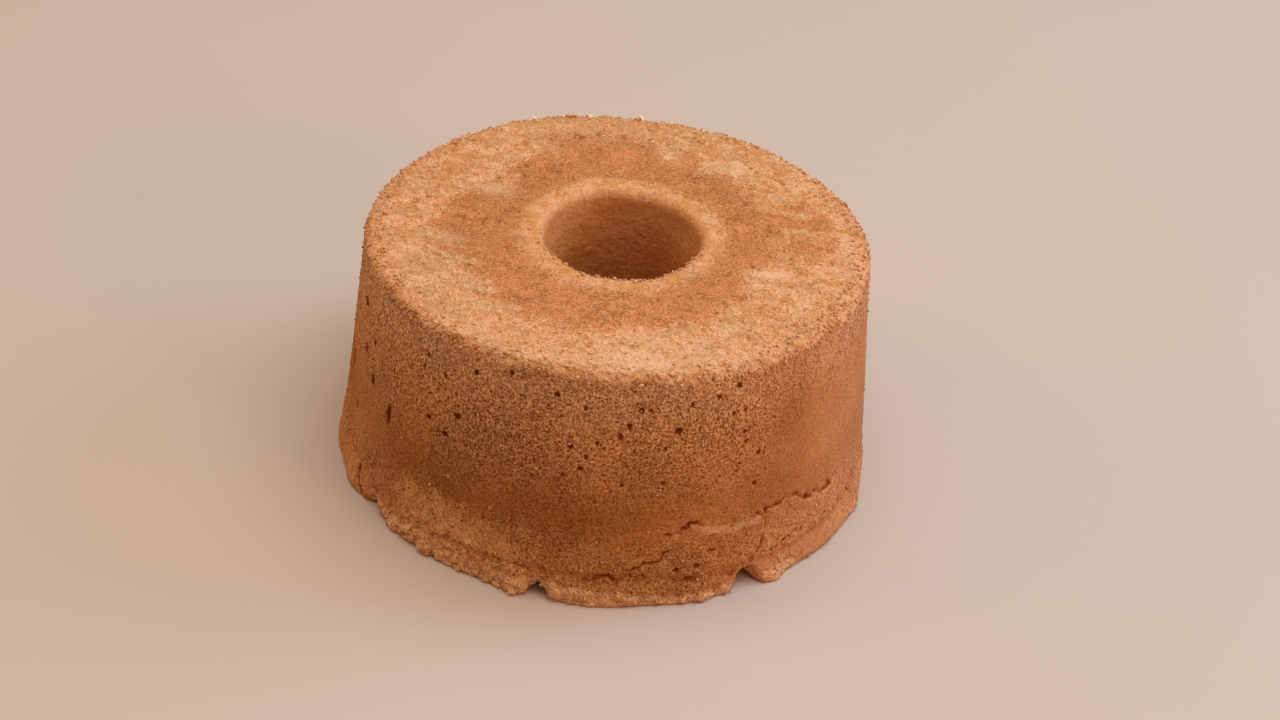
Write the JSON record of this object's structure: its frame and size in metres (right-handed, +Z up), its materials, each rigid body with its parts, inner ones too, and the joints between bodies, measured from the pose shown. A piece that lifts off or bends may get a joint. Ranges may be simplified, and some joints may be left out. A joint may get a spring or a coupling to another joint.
{
  "type": "chiffon cake",
  "caption": "Plain tube-baked chiffon cake, turned out upside down: a tapered ring of light sponge with a browned, partly peeled crust and a torn foot rim.",
  "frame": {"origin": "centre of the bounding box at the cake's foot, on the surface that it stands on", "axes": "+Z up along the cake's hole, from the torn foot to the browned top; the picture looks along +Y from above, with +X to its right"},
  "size_m": [0.1758, 0.1754, 0.081],
  "materials": {
    "cake_crust": "matt golden brown baked sponge crust with open crumb"
  },
  "bodies": {
    "root": {"chiffon_cake": "cake_crust"}
  },
  "joints": []
}
